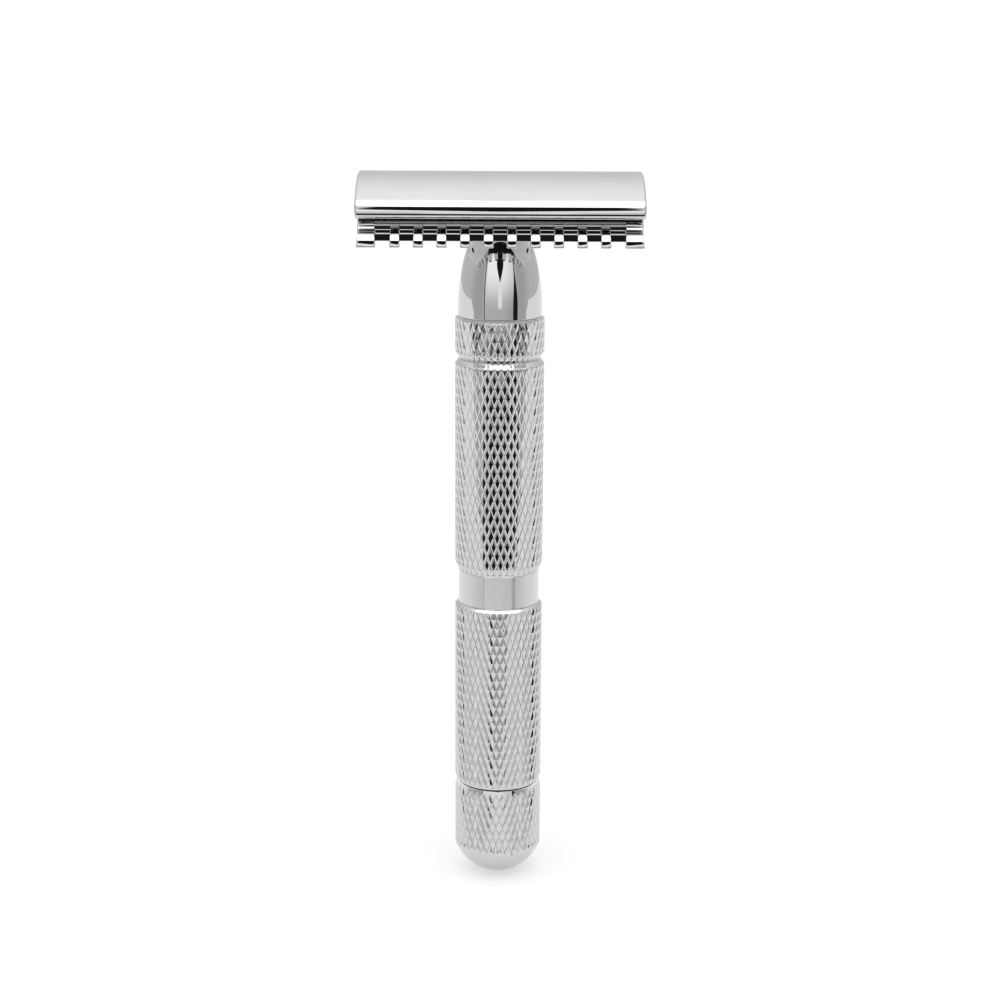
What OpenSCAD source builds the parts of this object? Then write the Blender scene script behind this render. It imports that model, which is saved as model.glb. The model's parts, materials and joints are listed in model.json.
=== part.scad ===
// Open-comb double-edge safety razor with a twist knob at the foot of its handle.
// Turning the knob turns a spindle inside the handle. The threaded socket on top of the spindle
// draws the cap's stud down, which bends the blade over the comb plate and clamps it.
// Units are millimetres. +Z runs up the handle to the head, +X runs along the blade's edges.
// The origin is on the handle's axis, at the foot of the lower barrel's full diameter.

/* [Cap] */
// Length of the cap along the blade's edges
cap_length = 43.6; // [43.4:0.1:45]
// Distance between the fronts of the cap's two lips
cap_width = 20.64; // [20.4:0.02:20.8]
// Height of the crown above the lips' undersides
cap_height = 6.45; // [6.4:0.05:6.6]
// Radius of the upper curve of each lip
lip_radius = 2.6; // [2.5:0.05:2.7]
// Radius of the lower edge of each lip
lip_edge_radius = 0.95; // [0.8:0.05:1]

/* [Blade] */
// Overall length of the blade, tabs included
blade_length = 43; // [42.6:0.1:43.2]
// Width of the blade measured along its bend
blade_width = 22; // [21.8:0.1:22.2]
// Thickness of the blade
blade_thickness = 0.1; // [0.1:0.01:0.15]
// Length of each cutting edge
edge_length = 37.4; // [36:0.2:38]
// Radius that the cap bends the blade to, on its upper face
bend_radius = 19.9; // [19.5:0.1:20.5]

/* [Comb plate] */
// Length of the comb plate
comb_length = 42.9; // [42.5:0.1:43.4]
// Width over the tips of the teeth
comb_width = 23.4; // [23:0.1:24]
// Narrow teeth along each side, between two wide end teeth
narrow_teeth = 10; // [6:2:10]
// Distance between neighbouring teeth
tooth_pitch = 3.5; // [3.3:0.05:3.6]
// Width of a narrow tooth
tooth_width = 1.5; // [1.2:0.1:1.8]
// Height of the comb plate's side walls
comb_wall_height = 2.7; // [2.5:0.1:2.9]

/* [Handle] */
// Diameter of the knurled barrels
barrel_diameter = 14; // [13.8:0.1:15]
// Diameter of the satin band
band_diameter = 12.88; // [12.4:0.02:13.2]
// Height of the lower barrel's knurled length
lower_barrel_length = 28.9; // [24:0.1:34]
// Height of the satin band
band_length = 5.4; // [4:0.1:8]
// Height of the upper barrel, chamfers included
upper_barrel_length = 34.05; // [28:0.05:40]
// Height of the knurled collar under the neck
collar_length = 6.65; // [6:0.05:8]
// Height of the neck between the collar and the comb plate
neck_length = 12.45; // [12.2:0.05:13]
// Radius of the neck's ogive curve
neck_curve_radius = 28.9; // [26:0.1:40]

/* [Knob] */
// Height of the knob's straight side
knob_side_length = 10.15; // [9.5:0.05:14]
// Radius of the ball that the knob's domed foot is part of
dome_radius = 7.38; // [7.2:0.02:7.6]

/* [Clamping screw] */
// Diameter of the cap's threaded stud
stud_diameter = 5; // [4.8:0.05:5.1]
// Distance that the cap rises for each turn of the knob
thread_pitch = 0.8; // [0.7:0.1:0.8]
// Turns of the knob from clamped to the end of the thread
turns_to_open = 9; // [6:1:9]
// Diameter of the spindle inside the handle
spindle_diameter = 4.5; // [4.4:0.1:4.8]

/* [Hidden] */
$fn = 96;

// Clearances
running_gap = 0.04;     // shafts turning in bushes
thread_gap = 0.05;      // between the stud and the socket's thread
sliding_gap = 0.08;     // locating pins in the comb plate
blade_gap = 0.1;        // above and below the bent blade
face_gap = 0.05;        // between flat faces that turn against each other
socket_gap = 0.1;       // around the draw socket in the neck
stud_gap = 0.1;         // around the stud in the comb plate and the neck
cut_margin = 1;         // how far a cutting shape runs past what it cuts

// Handle: radii
barrel_radius = barrel_diameter / 2;
band_radius = band_diameter / 2;
core_radius = 5;
core_bore_radius = 4;
spindle_radius = spindle_diameter / 2;
spindle_end_radius = 2;
socket_radius = 3.2;
neck_bore_radius = socket_radius + socket_gap;
neck_step = 0.415;      // from the barrels in to the foot of the neck
neck_base_radius = barrel_radius - neck_step;
notch_depth = 0.7;      // of the notch between the collar and the upper barrel
upper_notch_radius = barrel_radius - notch_depth;
groove_depth = 0.3;     // of the groove above the knob
lower_notch_radius = barrel_radius - groove_depth;
knob_step = 0.02;       // from the lower barrel in to the knob
knob_radius = barrel_radius - knob_step;

// Handle: heights
barrel_foot_chamfer = 0.85;
lower_barrel_bottom = -barrel_foot_chamfer;
shoulder_height = 0.55;
band_bottom = lower_barrel_length + shoulder_height;
band_top = band_bottom + band_length;
upper_chamfer_height = 1.25;
notch_chamfer_height = 0.8;
collar_bottom = band_top + upper_barrel_length;
collar_foot_chamfer = 1.1;
collar_top_chamfer = 0.4;
neck_bottom = collar_bottom + collar_length;
neck_foot_height = 1.45;
neck_curve_start = neck_bottom + neck_foot_height;
comb_bottom = neck_bottom + neck_length;
neck_spigot_height = 2.5;
neck_spigot_radius = 4.2;
core_bottom = 1;
core_seat_height = 4.45; // how far the core tube reaches into the neck
core_top = neck_bottom + core_seat_height;

// Head: heights and profile
blade_inner_radius = bend_radius - blade_thickness;
comb_crown_radius = blade_inner_radius - blade_gap;
cap_hollow_radius = bend_radius + blade_gap;
head_height = 3.25;
lip_bottom = comb_bottom + head_height;
lip_front_height = lip_bottom + lip_edge_radius;
lip_centre_offset = cap_width / 2 - lip_radius;
crown_top = lip_bottom + cap_height;
crown_rise = crown_top - lip_front_height;
crown_radius = (pow(lip_centre_offset, 2) + pow(crown_rise, 2) - pow(lip_radius, 2))
    / (2 * (crown_rise - lip_radius));
crown_half_width = crown_radius * lip_centre_offset / (crown_radius - lip_radius);
lip_rim = 0.62;         // from the lip's front back to the edge of the hollow
lip_rim_rise = 0.03;    // of the hollow's edge above the lip's underside
bend_centre = lip_bottom + lip_rim_rise
    - sqrt(pow(cap_hollow_radius, 2) - pow(cap_width / 2 - lip_rim, 2));
cap_edge_radius = 0.5;

// Comb plate
comb_body_half_width = 9.35;
comb_wall_top = comb_bottom + comb_wall_height;
blade_shelf_half_width = 8.6;
tooth_drop = 0.7;       // of the teeth below the comb plate
tooth_foot = comb_bottom - tooth_drop;
tooth_nose_radius = 2.2;
tooth_nose_height = tooth_foot + 0.2;
trough_radius = 1;
trough_offset = comb_body_half_width + trough_radius;
trough_rise = 3.07;     // of the trough's centre above the nose's centre
trough_height = tooth_nose_height + trough_rise;

// Cap stud and its locating pins
stud_radius = stud_diameter / 2;
stud_hole_radius = stud_radius + stud_gap;
stud_cover = 1.6;       // of the cap over the stud
stud_top = crown_top - stud_cover;
stud_tip_height = 0.6;
neck_roof = 1.6;        // from the socket up to the comb plate's underside
socket_top = comb_bottom - neck_roof;
stud_travel = thread_pitch * turns_to_open;
stud_bottom = socket_top - stud_travel - stud_tip_height;
pin_radius = 1.5;
pin_tip_height = 0.4;
pin_offset = 12;
pin_cover = 2.1;        // of the cap over the pins
pin_top = crown_top - pin_cover;
pin_bottom = comb_bottom + 1.5;

// Spindle and what it carries
socket_length = 18.4;
socket_bottom = socket_top - socket_length;
socket_seat_height = 6;
socket_web = 0.5;       // between the spindle's seat and the thread
socket_thread_bottom = socket_bottom + socket_seat_height + socket_web;
cross_pin_radius = 0.6;
cross_pin_length = 6;
ring_groove_bottom = 11.6;
ring_thickness = 0.6;
ring_groove_radius = 1.75;
bush_length = 8;
lower_bush_top = core_bottom + bush_length;
upper_bush_length = 6;
upper_bush_bottom = collar_bottom - 13;
washer_gap = 0.1;       // around the spindle in its washers
spring_height = 1.8;
spring_inner_radius = 2.7;
spring_outer_radius = 3.7;

// Knob
knob_gap = 0.15;        // between the knob and the lower barrel
knob_top = lower_barrel_bottom - knob_gap;
knob_top_chamfer = 1.05;
knob_foot_chamfer = 0.1;
dome_edge_radius = knob_radius - 0.07;
knob_side_bottom = knob_top - knob_top_chamfer - knob_side_length;
dome_centre = knob_side_bottom + sqrt(pow(dome_radius, 2) - pow(dome_edge_radius, 2));
knob_recess_radius = 4.3;
knob_recess_depth = 4;
spindle_seat_depth = 10; // of the spindle's end in the knob
spindle_foot = knob_top - spindle_seat_depth;
spindle_step = knob_top - 0.4;
nut_height = 3.2;
nut_across_flats = 7;

// Extrudes a profile drawn as (Y, Z) along X, centred.
module along_x(length) {
    translate([-length / 2, 0, 0]) rotate([90, 0, 90]) linear_extrude(height = length) children();
}

// A tube standing on bottom.
module tube(outer, inner, bottom, top) {
    difference() {
        translate([0, 0, bottom]) cylinder(r = outer, h = top - bottom);
        translate([0, 0, bottom - cut_margin]) cylinder(r = inner, h = top - bottom + 2 * cut_margin);
    }
}

// A round bar standing on bottom.
module bar(radius, bottom, top) {
    translate([0, 0, bottom]) cylinder(r = radius, h = top - bottom);
}

// A sleeve on the core tube, straight between two chamfers that end at a smaller radius.
module sleeve(outer, bottom, top, foot_radius, foot_chamfer, head_radius, head_chamfer) {
    rotate_extrude()
        polygon([
            [core_radius, bottom],
            [foot_radius, bottom],
            [outer, bottom + foot_chamfer],
            [outer, top - head_chamfer],
            [head_radius, top],
            [core_radius, top]
        ]);
}

// One lip of the cap: a gentle curve above its front and a tighter one under it.
module lip_section() {
    intersection() {
        translate([lip_centre_offset, lip_front_height]) circle(r = lip_radius, $fn = 120);
        translate([lip_centre_offset, lip_front_height]) square(lip_radius);
    }
    translate([cap_width / 2 - lip_edge_radius, lip_front_height]) circle(r = lip_edge_radius);
}

// The cap's section: a crown and two lips over a hollow that bends the blade.
module cap_section() {
    difference() {
        union() {
            intersection() {
                translate([0, crown_top - crown_radius]) circle(r = crown_radius, $fn = 200);
                translate([-crown_half_width, lip_bottom]) square([2 * crown_half_width, cap_height + 1]);
            }
            for (side = [0, 1])
                mirror([side, 0]) lip_section();
        }
        translate([0, bend_centre]) circle(r = cap_hollow_radius, $fn = 240);
    }
}

// A rectangle with round corners, centred across and standing on bottom.
module rounded_rectangle(width, height, bottom, radius) {
    union() {
        translate([-width / 2 + radius, bottom]) square([width - 2 * radius, height]);
        translate([-width / 2, bottom + radius]) square([width, height - 2 * radius]);
        for (side = [-1, 1])
            for (level = [bottom + radius, bottom + height - radius])
                translate([side * (width / 2 - radius), level]) circle(r = radius);
    }
}

// The pressed cap, with pockets underneath for its stud and pins.
module top_cap() {
    color([0.86, 0.87, 0.88])
    difference() {
        intersection() {
            along_x(cap_length) cap_section();
            translate([0, cap_width, 0]) rotate([90, 0, 0]) linear_extrude(height = 2 * cap_width)
                rounded_rectangle(cap_length, cap_height + 2 * cut_margin, lip_bottom - 2 * cut_margin,
                    cap_edge_radius);
            translate([0, 0, lip_bottom - cut_margin]) linear_extrude(height = cap_height + 2 * cut_margin)
                rounded_rectangle(cap_length, cap_width, -cap_width / 2, cap_edge_radius);
        }
        bar(stud_radius, lip_bottom, stud_top);
        for (side = [-1, 1])
            translate([side * pin_offset, 0, 0]) bar(pin_radius, lip_bottom, pin_top);
    }
}

// The threaded stud brazed into the cap, with a tapered tip.
module cap_stud() {
    color([0.8, 0.68, 0.42])
    union() {
        bar(stud_radius, stud_bottom + stud_tip_height, stud_top);
        translate([0, 0, stud_bottom])
            cylinder(r1 = stud_radius - stud_tip_height, r2 = stud_radius, h = stud_tip_height);
    }
}

// The pair of pins that keep the blade square to the cap.
module locating_pins() {
    color([0.78, 0.79, 0.8])
    for (side = [-1, 1])
        translate([side * pin_offset, 0, 0]) {
            bar(pin_radius, pin_bottom + pin_tip_height, pin_top);
            translate([0, 0, pin_bottom])
                cylinder(r1 = pin_radius - pin_tip_height, r2 = pin_radius, h = pin_tip_height);
        }
}

// The standard double-edge blade, bent as the closed cap holds it.
module blade() {
    half_angle = blade_width / 2 / (bend_radius - blade_thickness / 2) * 180 / PI;
    tab_half_width = 6.6;
    slot_width = 3.6;
    slot_length = 34;
    eye_radius = 3;
    end_eye_radius = 2.3;
    end_eye_offset = 15;
    reach = bend_radius / cos(half_angle);
    slot_bottom = lip_bottom - cut_margin;
    slot_height = cap_height + cut_margin;
    color([0.62, 0.64, 0.67])
    difference() {
        along_x(blade_length)
            translate([0, bend_centre])
                intersection() {
                    difference() {
                        circle(r = bend_radius, $fn = 240);
                        circle(r = blade_inner_radius, $fn = 240);
                    }
                    polygon([
                        [0, 0],
                        [reach * sin(half_angle), reach * cos(half_angle)],
                        [0, 2 * reach],
                        [-reach * sin(half_angle), reach * cos(half_angle)]
                    ]);
                }
        for (end = [-1, 1])
            for (side = [-1, 1])
                translate([end * blade_length / 2, side * (tab_half_width + blade_width / 2), lip_bottom])
                    cube([blade_length - edge_length, blade_width, 3 * cap_height], center = true);
        translate([-slot_length / 2, -slot_width / 2, slot_bottom])
            cube([slot_length, slot_width, slot_height]);
        bar(eye_radius, slot_bottom, slot_bottom + slot_height);
        for (end = [-1, 1])
            translate([end * end_eye_offset, 0, 0])
                bar(end_eye_radius, slot_bottom, slot_bottom + slot_height);
    }
}

// The section of the comb plate's body: flat underneath, walls, then the crown under the blade.
module comb_body_section() {
    shelf_edge_height = bend_centre + sqrt(pow(comb_crown_radius, 2) - pow(blade_shelf_half_width, 2));
    intersection() {
        translate([0, bend_centre]) circle(r = comb_crown_radius, $fn = 240);
        polygon([
            [-comb_body_half_width, comb_bottom],
            [comb_body_half_width, comb_bottom],
            [comb_body_half_width, comb_wall_top],
            [blade_shelf_half_width, shelf_edge_height],
            [blade_shelf_half_width, crown_top],
            [-blade_shelf_half_width, crown_top],
            [-blade_shelf_half_width, shelf_edge_height],
            [-comb_body_half_width, comb_wall_top]
        ]);
    }
}

// The section of the teeth on one side: a rounded nose that runs up a trough to the comb's wall.
// Its underside slopes from the nose's foot up to the comb's.
module tooth_section() {
    overlap = 0.3;
    foot_width = 1.8;
    crest_width = 0.75;
    tip = comb_width / 2;
    root = comb_body_half_width - overlap;
    nose_offset = tip - tooth_nose_radius;
    crest = comb_body_half_width + crest_width;
    difference() {
        union() {
            intersection() {
                translate([nose_offset, tooth_nose_height]) circle(r = tooth_nose_radius, $fn = 96);
                polygon([
                    [root, comb_bottom],
                    [tip - foot_width, tooth_foot],
                    [tip + overlap, tooth_foot],
                    [tip + overlap, trough_height],
                    [root, trough_height],
                ]);
            }
            translate([root, comb_bottom]) square([crest - root, trough_height - comb_bottom]);
        }
        translate([trough_offset, trough_height]) circle(r = trough_radius, $fn = 64);
    }
}

// The comb plate, with a hole for the stud, a seat for the neck and two holes for the pins.
module comb_plate() {
    end_tooth_width = 2.8;
    color([0.84, 0.85, 0.86])
    difference() {
        union() {
            along_x(comb_length) comb_body_section();
            for (side = [0, 1])
                mirror([0, side, 0]) {
                    for (number = [0 : narrow_teeth - 1])
                        translate([(number - (narrow_teeth - 1) / 2) * tooth_pitch, 0, 0])
                            along_x(tooth_width) tooth_section();
                    for (end = [-1, 1])
                        translate([end * (comb_length - end_tooth_width) / 2, 0, 0])
                            along_x(end_tooth_width) tooth_section();
                }
        }
        bar(stud_hole_radius, comb_bottom - cut_margin, crown_top);
        bar(neck_spigot_radius, comb_bottom - cut_margin, comb_bottom + neck_spigot_height);
        for (side = [-1, 1])
            translate([side * pin_offset, 0, 0])
                bar(pin_radius + sliding_gap, comb_bottom - cut_margin, crown_top);
    }
}

// The ogive neck, staked into the comb plate and seated over the top of the core tube.
module neck() {
    color([0.86, 0.87, 0.88])
    rotate_extrude()
        difference() {
            union() {
                translate([0, neck_bottom]) square([neck_base_radius, neck_curve_start - neck_bottom]);
                intersection() {
                    translate([neck_base_radius - neck_curve_radius, neck_curve_start])
                        circle(r = neck_curve_radius, $fn = 300);
                    translate([0, neck_curve_start - face_gap])
                        square([neck_base_radius, comb_bottom - neck_curve_start + face_gap]);
                }
                translate([0, comb_bottom - cut_margin])
                    square([neck_spigot_radius, neck_spigot_height + cut_margin]);
            }
            translate([-cut_margin, neck_bottom - cut_margin])
                square([core_radius + cut_margin, core_top - neck_bottom + cut_margin]);
            translate([-cut_margin, neck_bottom])
                square([neck_bore_radius + cut_margin, socket_top + 2 * socket_gap - neck_bottom]);
            translate([-cut_margin, neck_bottom])
                square([stud_hole_radius + cut_margin, 2 * neck_length]);
        }
}

// The short knurled collar between the upper barrel and the neck.
module knurled_collar() {
    color([0.74, 0.75, 0.77])
    sleeve(barrel_radius, collar_bottom, neck_bottom, upper_notch_radius, collar_foot_chamfer,
        neck_base_radius, collar_top_chamfer);
}

// The long knurled sleeve above the band.
module upper_barrel() {
    color([0.74, 0.75, 0.77])
    sleeve(barrel_radius, band_top, collar_bottom, band_radius, upper_chamfer_height,
        upper_notch_radius, notch_chamfer_height);
}

// The smooth satin ring between the two barrels.
module centre_band() {
    color([0.8, 0.8, 0.8])
    tube(band_radius, core_radius, band_bottom, band_top);
}

// The knurled sleeve below the band.
module lower_barrel() {
    color([0.74, 0.75, 0.77])
    sleeve(barrel_radius, lower_barrel_bottom, band_bottom, lower_notch_radius, barrel_foot_chamfer,
        band_radius, shoulder_height);
}

// The tube that the sleeves, the band and the collar are pressed onto.
module core_tube() {
    color([0.8, 0.68, 0.42])
    tube(core_radius, core_bore_radius, core_bottom, core_top);
}

// The bush that steadies the spindle near the top of the core tube.
module upper_bush() {
    color([0.78, 0.62, 0.32])
    tube(core_bore_radius, spindle_radius + running_gap, upper_bush_bottom,
        upper_bush_bottom + upper_bush_length);
}

// The flanged bush that closes the foot of the core tube.
module lower_bush() {
    inner = spindle_radius + running_gap;
    color([0.78, 0.62, 0.32])
    rotate_extrude()
        polygon([
            [inner, 0],
            [core_radius, 0],
            [core_radius, core_bottom],
            [core_bore_radius, core_bottom],
            [core_bore_radius, lower_bush_top],
            [inner, lower_bush_top]
        ]);
}

// The plastic washer that the knob turns against.
module thrust_washer() {
    rim_gap = 0.2;
    color([0.92, 0.92, 0.88])
    tube(core_radius - rim_gap, spindle_radius + washer_gap, lower_barrel_bottom, 0);
}

// The crest-to-crest wave spring that takes up the spindle's end play.
module wave_spring() {
    turns = 3;
    strip = 0.3;
    step = (spring_height - strip) / (turns - 1);
    crest_length = 1.1;
    crest_inset = 0.1;
    color([0.6, 0.62, 0.64])
    union() {
        for (turn = [0 : turns - 1])
            tube(spring_outer_radius, spring_inner_radius, lower_bush_top + turn * step,
                lower_bush_top + turn * step + strip);
        for (turn = [0 : turns - 2])
            for (crest = [0 : 2])
                rotate([0, 0, 120 * crest + 60 * turn])
                    translate([spring_inner_radius + crest_inset, -crest_length / 2,
                        lower_bush_top + turn * step + strip / 2])
                        cube([spring_outer_radius - spring_inner_radius - 2 * crest_inset,
                            crest_length, step]);
    }
}

// The flat washer between the spring and the retaining ring.
module slip_washer() {
    color([0.7, 0.71, 0.73])
    tube(spring_outer_radius, spindle_radius + washer_gap, lower_bush_top + spring_height,
        ring_groove_bottom - face_gap);
}

// The spindle, with a smaller end at each side and a groove for its retaining ring.
module spindle() {
    spindle_top = socket_bottom + socket_seat_height;
    color([0.7, 0.71, 0.73])
    difference() {
        union() {
            bar(spindle_end_radius, spindle_foot, spindle_top);
            bar(spindle_radius, spindle_step, socket_bottom);
        }
        tube(spindle_radius + cut_margin, ring_groove_radius, ring_groove_bottom,
            ring_groove_bottom + ring_thickness);
        translate([0, 0, socket_bottom + socket_seat_height / 2]) rotate([0, 90, 0])
            cylinder(r = cross_pin_radius, h = cross_pin_length, center = true, $fn = 48);
    }
}

// The threaded socket pinned on top of the spindle, which the cap's stud screws into.
module draw_socket() {
    color([0.8, 0.68, 0.42])
    difference() {
        bar(socket_radius, socket_bottom, socket_top);
        bar(spindle_end_radius, socket_bottom - cut_margin, socket_bottom + socket_seat_height);
        bar(stud_radius + thread_gap, socket_thread_bottom, socket_top + cut_margin);
        translate([0, 0, socket_bottom + socket_seat_height / 2]) rotate([0, 90, 0])
            cylinder(r = cross_pin_radius, h = cross_pin_length, center = true, $fn = 48);
    }
}

// The cross pin that locks the socket to the spindle.
module socket_pin() {
    color([0.6, 0.62, 0.64])
    translate([0, 0, socket_bottom + socket_seat_height / 2]) rotate([0, 90, 0])
        cylinder(r = cross_pin_radius, h = cross_pin_length, center = true, $fn = 48);
}

// The open retaining ring in the spindle's groove.
module retaining_ring() {
    opening_width = 2.4;
    outer = 3.3;
    color([0.5, 0.52, 0.55])
    difference() {
        tube(outer, ring_groove_radius, ring_groove_bottom, ring_groove_bottom + ring_thickness);
        translate([0, -opening_width / 2, ring_groove_bottom - cut_margin])
            cube([2 * spindle_diameter, opening_width, ring_thickness + 2 * cut_margin]);
    }
}

// The hexagon nut that locks the knob onto the spindle.
module lock_nut() {
    bottom = knob_top - knob_recess_depth;
    color([0.7, 0.71, 0.73])
    difference() {
        translate([0, 0, bottom]) cylinder(r = nut_across_flats / sqrt(3), h = nut_height, $fn = 6);
        bar(spindle_end_radius, bottom - cut_margin, bottom + nut_height + cut_margin);
    }
}

// The domed knob, with a recess for the lock nut and a blind hole for the spindle.
module end_knob() {
    overlap = 0.01;
    color([0.78, 0.79, 0.81])
    rotate_extrude()
        difference() {
            union() {
                intersection() {
                    translate([0, dome_centre]) circle(r = dome_radius, $fn = 160);
                    translate([0, dome_centre - 2 * dome_radius])
                        square([dome_edge_radius, knob_side_bottom - dome_centre + 2 * dome_radius]);
                }
                polygon([
                    [0, knob_side_bottom - overlap],
                    [dome_edge_radius, knob_side_bottom - overlap],
                    [knob_radius, knob_side_bottom + knob_foot_chamfer],
                    [knob_radius, knob_top - knob_top_chamfer],
                    [lower_notch_radius, knob_top],
                    [0, knob_top]
                ]);
            }
            translate([-cut_margin, knob_top - knob_recess_depth])
                square([knob_recess_radius + cut_margin, knob_recess_depth + cut_margin]);
            translate([-cut_margin, spindle_foot])
                square([spindle_end_radius + cut_margin, spindle_seat_depth]);
        }
}

top_cap();
cap_stud();
locating_pins();
blade();
comb_plate();
neck();
knurled_collar();
upper_barrel();
centre_band();
lower_barrel();
core_tube();
upper_bush();
lower_bush();
thrust_washer();
wave_spring();
slip_washer();
spindle();
draw_socket();
socket_pin();
retaining_ring();
lock_nut();
end_knob();
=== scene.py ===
import json
import math

import bmesh
import bpy
import numpy as np
from mathutils import Euler, Matrix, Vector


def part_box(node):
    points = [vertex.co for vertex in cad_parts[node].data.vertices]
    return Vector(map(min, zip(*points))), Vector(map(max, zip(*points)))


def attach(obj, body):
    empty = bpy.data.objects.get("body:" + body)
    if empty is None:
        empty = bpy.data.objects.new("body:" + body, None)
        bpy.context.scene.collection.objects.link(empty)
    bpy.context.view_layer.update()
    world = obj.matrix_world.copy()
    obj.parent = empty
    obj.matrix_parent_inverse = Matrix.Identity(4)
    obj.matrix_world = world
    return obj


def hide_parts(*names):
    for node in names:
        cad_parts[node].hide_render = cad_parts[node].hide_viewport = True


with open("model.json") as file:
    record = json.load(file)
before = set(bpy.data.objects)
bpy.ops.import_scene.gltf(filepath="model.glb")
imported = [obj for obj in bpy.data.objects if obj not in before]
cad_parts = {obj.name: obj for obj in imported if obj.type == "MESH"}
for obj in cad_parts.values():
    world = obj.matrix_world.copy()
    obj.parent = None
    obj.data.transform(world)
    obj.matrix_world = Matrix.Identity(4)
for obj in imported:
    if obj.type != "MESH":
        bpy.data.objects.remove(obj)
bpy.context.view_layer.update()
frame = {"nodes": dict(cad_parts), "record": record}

scene = bpy.context.scene
MM = 0.001
TURN = 2 * math.pi


# ---------------------------------------------------------------- frame dimensions, in mm

def heights(node):
    """The lowest and highest point of a CAD node."""
    low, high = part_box(node)
    return low[2] / MM, high[2] / MM


def half_size(node, axis):
    """Half of a CAD node's size along an axis."""
    low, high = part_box(node)
    return (high[axis] - low[axis]) / 2 / MM


BARREL_RADIUS = half_size("lower_barrel", 0)
BAND_RADIUS = half_size("centre_band", 0)
CORE_RADIUS = half_size("core_tube", 0)
KNOB_RADIUS = half_size("end_knob", 0)
KNOB_FOOT, KNOB_TOP = heights("end_knob")
LOWER_FOOT, BAND_FOOT = heights("lower_barrel")
BAND_TOP = heights("centre_band")[1]
COLLAR_FOOT, NECK_FOOT = heights("knurled_collar")
NECK_TOP = heights("neck")[1]
TOOTH_FOOT = heights("comb_plate")[0]
CAP_HALF_LENGTH = half_size("top_cap", 0)
CAP_HALF_WIDTH = half_size("top_cap", 1)
CAP_FOOT, CAP_TOP = heights("top_cap")
COMB_HALF_LENGTH = half_size("comb_plate", 0)
COMB_HALF_WIDTH = half_size("comb_plate", 1)
TOOTH_DROP = 0.7
COMB_FOOT = TOOTH_FOOT + TOOTH_DROP

# The cap's section
LIP_RADIUS = 2.6
LIP_EDGE_RADIUS = 0.95
LIP_CENTRE = CAP_HALF_WIDTH - LIP_RADIUS
LIP_FRONT = CAP_FOOT + LIP_EDGE_RADIUS
CROWN_RISE = CAP_TOP - LIP_FRONT
CROWN_RADIUS = (LIP_CENTRE ** 2 + CROWN_RISE ** 2 - LIP_RADIUS ** 2) / (2 * (CROWN_RISE - LIP_RADIUS))
CROWN_ANGLE = math.asin(LIP_CENTRE / (CROWN_RADIUS - LIP_RADIUS))
HOLLOW_RADIUS = 20.0
HOLLOW_HALF_WIDTH = CAP_HALF_WIDTH - 0.62
HOLLOW_CENTRE = CAP_FOOT + 0.03 - math.sqrt(HOLLOW_RADIUS ** 2 - HOLLOW_HALF_WIDTH ** 2)
CAP_EDGE = 0.45

# The comb plate's section
COMB_CROWN_RADIUS = HOLLOW_RADIUS - 0.3
WALL_OFFSET = 9.35
WALL_TOP = COMB_FOOT + 2.7
SHELF_OFFSET = 8.6
TROUGH_RADIUS = 1.0
TROUGH_OFFSET = WALL_OFFSET + TROUGH_RADIUS
NOSE_RADIUS = 2.2
NOSE_OFFSET = COMB_HALF_WIDTH - NOSE_RADIUS
NOSE_HEIGHT = TOOTH_FOOT + 0.2
TROUGH_ANGLE = math.acos((TROUGH_OFFSET - NOSE_OFFSET) / (NOSE_RADIUS + TROUGH_RADIUS))
TROUGH_HEIGHT = NOSE_HEIGHT + (NOSE_RADIUS + TROUGH_RADIUS) * math.sin(TROUGH_ANGLE)
TOOTH_PITCH = 3.5
NARROW_TEETH = 10
NARROW_TOOTH = 1.5
END_TOOTH = 2.8

# The neck's spigot and the bore for the stud, shared by the neck and the comb plate
SPIGOT_RADIUS = 4.2
STUD_BORE = 2.6

# The knurl: grooves each way round, the height of one diamond, and grid steps from groove to groove.
# A groove is its depth and its half-width as a share of the spacing, a whole number of grid steps.
STARTS = 41
KNURL_PERIOD = 2.95
SAMPLES = 10
FINE_GROOVE = (0.13, 0.2)
WIDE_GROOVE = (0.2, 0.3)
SURFACE_SCATTER = 0.006
KNURL_DRIFT = 0.03

# Edges sharper than this aren't smoothed, in degrees
SHARP_DEGREES = 32
KNURL_SHARP_DEGREES = 14


# ---------------------------------------------------------------- node helpers

def set_inputs(node, values):
    """Sets a node's inputs by name or number, linking any that are given as a socket."""
    for key, value in values.items():
        if isinstance(value, bpy.types.NodeSocket):
            node.id_data.links.new(value, node.inputs[key])
        else:
            node.inputs[key].default_value = value


def add_node(tree, kind, inputs=None, **settings):
    """A new node with its settings and inputs."""
    node = tree.nodes.new("ShaderNode" + kind)
    for key, value in settings.items():
        setattr(node, key, value)
    set_inputs(node, inputs or {})
    return node


def math_node(tree, operation, first, second=0.0):
    """The result of one sum on numbers or sockets."""
    return add_node(tree, "Math", {0: first, 1: second}, operation=operation).outputs[0]


def ramp(tree, value, low, high, at_low=0.0, at_high=1.0):
    """Goes smoothly from at_low to at_high as value goes from low to high."""
    inputs = {"Value": value, "From Min": low, "From Max": high, "To Min": at_low, "To Max": at_high}
    return add_node(tree, "MapRange", inputs, interpolation_type="SMOOTHSTEP").outputs[0]


def blend_colours(tree, factor, first, second):
    """A mix of two colours."""
    node = add_node(tree, "Mix", data_type="RGBA")
    set_inputs(node, {"Factor": factor, 6: first, 7: second})
    return node.outputs[2]


def stretched_noise(tree, stretch, detail=3.0, roughness=0.6):
    """Noise on the object's own coordinates, with stretch as features per metre along each axis."""
    coordinates = add_node(tree, "TexCoord").outputs["Object"]
    mapping = add_node(tree, "Mapping", {"Vector": coordinates, "Scale": stretch})
    inputs = {"Vector": mapping.outputs[0], "Scale": 1.0, "Detail": detail, "Roughness": roughness}
    return add_node(tree, "TexNoise", inputs).outputs[0]


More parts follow.
